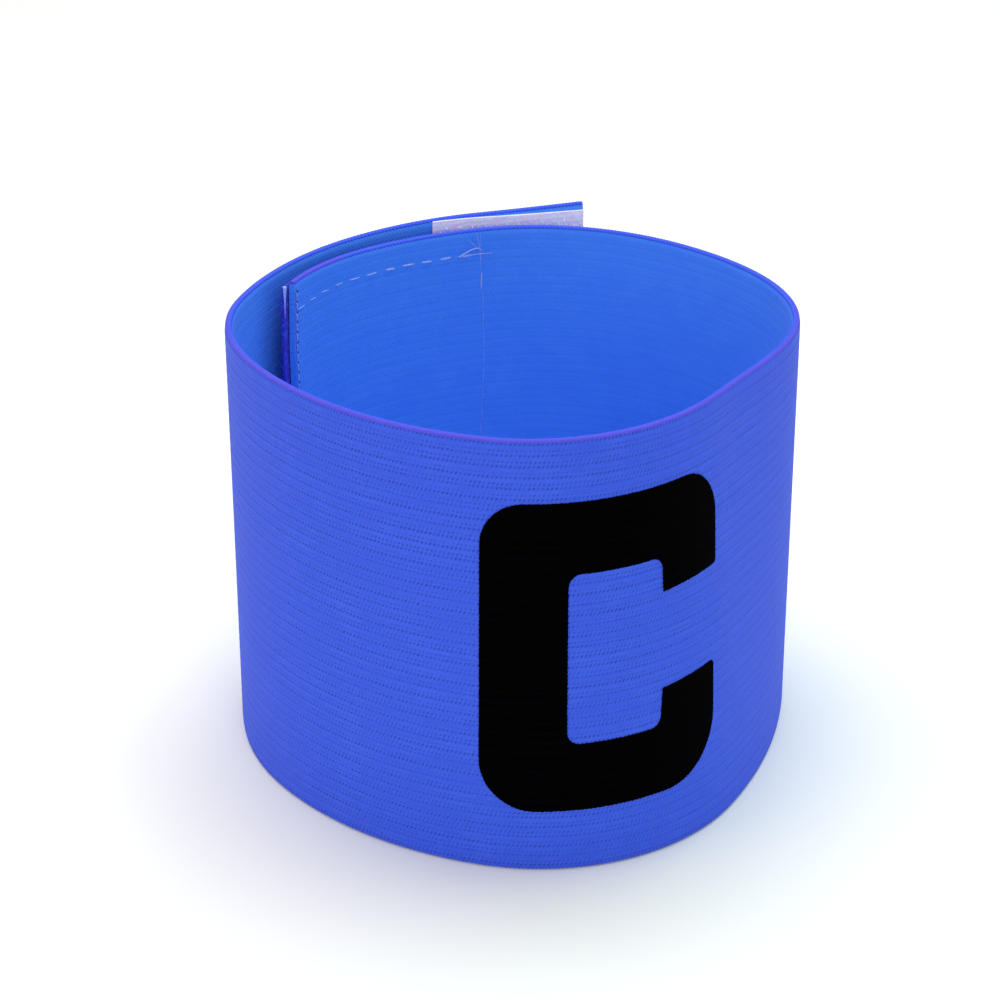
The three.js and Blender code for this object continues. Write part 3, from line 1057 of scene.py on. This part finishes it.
def sew(name, row, places, side, material, seed):
    # side is 1 on the outer face and -1 on the inner face; a place is (along, height, upright or not, size)
    chance = random.Random(seed)
    stitch = makeStitch(row["length"], row["thread"])
    copies = []
    for x, z, upright, size in places:
        turn = Matrix.Rotation(math.pi / 2 if upright else 0, 3, "Y") @ Matrix.Rotation(chance.uniform(-0.06, 0.06), 3, "Y")
        thick = size * chance.uniform(0.85, 1.15)
        turn = turn @ Matrix.Diagonal((chance.uniform(0.8, 1.1), side * thick, thick))
        face = side * (strip["thickness"] / 2 + row["thread"] * 0.35 * size)
        copies.append(((x + chance.uniform(-0.1, 0.1), face, z + chance.uniform(-0.05, 0.05)), turn))
    piece = stampCopies(name, stitch, copies)
    tidyNormals(piece)
    bendOnPath(piece)
    dress(piece, material)
    return piece


def spaced(row):
    count = int((row["to"] - row["from"]) / row["pitch"]) + 1
    return [row["from"] + k * row["pitch"] for k in range(count)]


def sewSeams():
    upper, lower, column, end = seams["whiteRow"], seams["lowerRow"], seams["tapeColumn"], seams["endColumn"]
    # the thread lies looser, so thicker, towards the backtack
    places = [
        (x, upper["level"] - 0.6 * (1 - smooth(x / 13)), False, 0.65 + 0.75 * smooth(x / 36)) for x in spaced(upper)
    ]
    places += [(x, lower["level"], False, 0.8) for x in spaced(lower)]
    whiteRows = sew("white_stitch_rows", upper, places, -1, whiteThread, 5)
    low, high = column["bright"]
    places = [(column["at"] + 0.3 * math.sin(z * 0.16), z, True, 1.5 if low < z < high else 1) for z in spaced(column)]
    brightOnes = [place for place in places if place[3] > 1]
    paleOnes = [place for place in places if place[3] == 1]
    whiteColumn = sew("white_stitch_column", column, brightOnes, -1, whiteThread, 6)
    paleColumn = sew("pale_stitch_column", column, paleOnes, -1, paleThread, 7)
    places = [(end["at"] - endSlip(z), z, True, 1) for z in spaced(end)]
    endColumn = sew("end_stitch_column", end, places, -1, paleThread, 8)
    # the needle's holes are painted as dark dots of shade beside that seam
    holes = {"length": 0.5, "thread": 0.17}
    places = [(x + 0.32, z + 0.5 * k * end["pitch"], True, 1) for x, z, upright, size in places for k in (0, 1)]
    needleHoleShade = sew("needle_hole_shade_dots", holes, places, -1, holeShadeFinish, 12)
    flapRows, flapColumns = seams["flapRows"], seams["flapColumns"]
    places = [(x, level, False, 1) for level in flapRows["levels"] for x in spaced(flapRows)]
    flapRowPiece = sew("flap_stitch_rows", flapRows, places, 1, blueThread, 9)
    places = [(x, z, True, 1) for x in flapColumns["at"] for z in spaced(flapColumns)]
    flapColumnPiece = sew("flap_stitch_columns", flapColumns, places, 1, blueThread, 10)
    return [whiteRows, whiteColumn], [paleColumn, endColumn, needleHoleShade, flapRowPiece, flapColumnPiece]


whiteStitches, blueStitches = sewSeams()
print("seams sewn:", len(whiteStitches) + len(blueStitches))


# Loose thread: the backtack where the white row meets the column, and a frayed tuft at the loop tape's upper corner

looseThread = {
    # along the strip, out from its middle (negative on the inner face), height and radius of each bend
    "backtack": [
        [(37.6, -0.7, 65.3, 0.13), (38.7, -1.0, 66.0, 0.13), (39.9, -1.15, 66.6, 0.11), (41.2, -0.95, 66.8, 0.09), (42.2, -0.7, 65.9, 0.05)],
        [(39.4, -0.7, 68.4, 0.04), (40.0, -0.95, 67.6, 0.045), (40.7, -1.0, 66.9, 0.045), (41.6, -0.75, 66.3, 0.04)],
        [(38.9, -0.75, 65.4, 0.1), (41.0, -0.9, 65.6, 0.1), (42.6, -0.9, 65.5, 0.07), (44.0, -0.7, 65.4, 0.04)],
        [(41.0, -0.7, 69.3, 0.04), (41.3, -0.9, 67.4, 0.05), (41.6, -0.85, 65.8, 0.05), (41.8, -0.7, 64.2, 0.04)],
    ],
    "tuft": [
        [(-1.25, 0.75, 69.3, 0.34), (-1.35, 0.8, 68.4, 0.32), (-1.45, 0.8, 67.0, 0.2), (-1.5, 0.8, 65.4, 0.11), (-1.5, 0.8, 63.8, 0.04)],
    ],
}


def makeLooseThread(name, threads):
    made = []
    for bends in threads:
        data = bpy.data.curves.new(name, "CURVE")
        data.dimensions = "3D"
        data.bevel_depth = mm
        data.bevel_resolution = 2
        data.use_fill_caps = True
        data.resolution_u = 8
        line = data.splines.new("NURBS")
        line.points.add(len(bends) - 1)
        for knot, (x, y, z, radius) in zip(line.points, bends):
            knot.co = (x * mm, y * mm, z * mm, 1)
            knot.radius = radius
        line.use_endpoint_u = True
        line.order_u = 4
        thread = bpy.data.objects.new(name, data)
        bpy.context.scene.collection.objects.link(thread)
        pickOnly(thread)
        bpy.ops.object.convert(target="MESH")
        made.append(bpy.context.object)
    piece = joinPieces(name, made)
    tidyNormals(piece)
    bendOnPath(piece)
    dress(piece, whiteThread)
    return piece


backtackThreads = makeLooseThread("backtack_threads", looseThread["backtack"])
tapeTuft = makeLooseThread("tape_tuft", looseThread["tuft"])
print("loose thread made")


# What each piece stands for

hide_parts("elastic_band")
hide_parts("loop_patch")
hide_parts("hook_patch")
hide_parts("letter_c")

slots = {
    "woven_elastic": [elasticBand, edgeLoops],
    "loop_tape": [loopGround, loopPile],
    "hook_tape": [hookGround, hookField],
    "letter_ink": [letterC],
    "white_thread": whiteStitches + [backtackThreads, tapeTuft],
    "blue_thread": blueStitches,
}
for slotName, pieces in slots.items():
    for piece in pieces:
        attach(piece, "root")

bpy.data.objects.remove(armbandPath)


# Floor and studio light

studio = {
    "floorSize": 16,  # metres
    "floor": (0.9, 0.9, 0.85, 1),
    "room": ((0.93, 0.94, 1.0, 1), 0.46),
    # place in metres, size in metres, watts, colour
    "lamps": {
        "frontBox": ((-0.15, -1.1, 0.55), 0.8, 3.3, (0.87, 1.0, 0.92)),
        "overheadBox": ((0.0, 0.22, 1.0), 0.7, 7.5, (1.0, 0.97, 0.94)),
        "rightBox": ((0.45, 0.15, 0.85), 0.6, 2.4, (0.6, 0.93, 1.0)),
        "leftBox": ((-1.1, 0.0, 0.35), 0.6, 2.3, (1.0, 0.75, 0.72)),
    },
}


def setStudio():
    bpy.ops.object.select_all(action="DESELECT")
    bpy.ops.mesh.primitive_plane_add(size=studio["floorSize"], location=(0, 0, 0))
    floor = bpy.context.object
    floor.name = "floor"
    material, tree, shader = newFinish("paleFloor", Roughness=0.8, Specular_IOR_Level=0.2)
    coordinates = tree.nodes.new("ShaderNodeTexCoord")
    grain = noiseOn(tree, coordinates.outputs["Object"], 6.0, 2)
    feed(tree, shader["Base Color"], blendColours(tree, grain, studio["floor"], (0.92, 0.92, 0.87, 1)))
    floor.data.materials.append(material)
    world = bpy.data.worlds.new("studioRoom")
    world.use_nodes = True
    bpy.context.scene.world = world
    backdrop = world.node_tree.nodes["Background"].inputs
    backdrop["Color"].default_value, backdrop["Strength"].default_value = studio["room"]
    for name, (place, size, power, tint) in studio["lamps"].items():
        data = bpy.data.lights.new(name, "AREA")
        data.shape = "SQUARE"
        data.size = size
        data.energy = power
        data.color = tint
        lamp = bpy.data.objects.new(name, data)
        bpy.context.scene.collection.objects.link(lamp)
        lamp.location = place
        aim = Vector((0, 0, 0.03)) - Vector(place)
        lamp.rotation_euler = aim.to_track_quat("-Z", "Y").to_euler()
    bpy.context.scene.view_settings.view_transform = "Standard"


setStudio()
print("studio lit")
